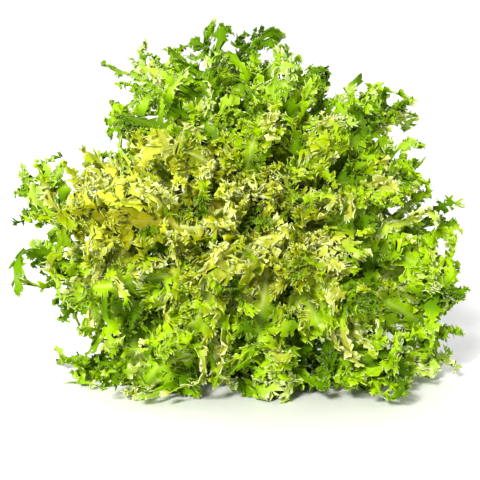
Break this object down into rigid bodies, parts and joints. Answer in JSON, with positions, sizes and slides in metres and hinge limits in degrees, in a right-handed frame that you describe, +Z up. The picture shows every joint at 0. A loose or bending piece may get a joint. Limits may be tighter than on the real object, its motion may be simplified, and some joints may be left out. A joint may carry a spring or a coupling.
{
  "type": "curly endive head",
  "caption": "A head of curly endive lying on its side: a rosette of deeply cut, frilled leaves, pale at the heart and green outside, on a short cut stem.",
  "frame": {"origin": "bottom centre of the head's box, on the surface that it lies on", "axes": "+Z up, -Y the way the rosette faces, +X across the rosette"},
  "size_m": [0.3208, 0.2062, 0.2547],
  "materials": {
    "leaf_heart": "satin",
    "leaf_pale": "satin",
    "leaf_green": "satin",
    "stem": "matte"
  },
  "bodies": {
    "root": {"leaf_back_01": "leaf_green", "leaf_back_02": "leaf_green", "leaf_back_03": "leaf_green", "leaf_back_04": "leaf_green", "leaf_back_05": "leaf_green", "leaf_back_06": "leaf_green", "leaf_back_07": "leaf_green", "leaf_heart": "leaf_heart", "leaf_inner_01": "leaf_pale", "leaf_inner_02": "leaf_pale", "leaf_inner_03": "leaf_pale", "leaf_inner_04": "leaf_pale", "leaf_inner_05": "leaf_pale", "leaf_inner_06": "leaf_pale", "leaf_inner_07": "leaf_pale", "leaf_inner_08": "leaf_pale", "leaf_middle_01": "leaf_pale", "leaf_middle_02": "leaf_pale", "leaf_middle_03": "leaf_pale", "leaf_middle_04": "leaf_pale", "leaf_middle_05": "leaf_pale", "leaf_middle_06": "leaf_pale", "leaf_middle_07": "leaf_pale", "leaf_middle_08": "leaf_pale", "leaf_middle_09": "leaf_pale", "leaf_middle_10": "leaf_pale", "leaf_middle_11": "leaf_pale", "leaf_outer_01": "leaf_green", "leaf_outer_02": "leaf_green", "leaf_outer_03": "leaf_green", "leaf_outer_04": "leaf_green", "leaf_outer_05": "leaf_green", "leaf_outer_06": "leaf_green", "leaf_outer_07": "leaf_green", "leaf_outer_08": "leaf_green", "leaf_outer_09": "leaf_green", "leaf_outer_10": "leaf_green", "leaf_outer_11": "leaf_green", "leaf_outer_12": "leaf_green", "leaf_outer_13": "leaf_green", "leaf_outer_14": "leaf_green", "leaf_outer_15": "leaf_green", "leaf_outer_16": "leaf_green", "leaf_outer_17": "leaf_green", "leaf_outer_18": "leaf_green", "leaf_young_01": "leaf_heart", "leaf_young_02": "leaf_heart", "leaf_young_03": "leaf_heart", "leaf_young_04": "leaf_heart", "leaf_young_05": "leaf_heart", "stem": "stem"}
  },
  "joints": []
}
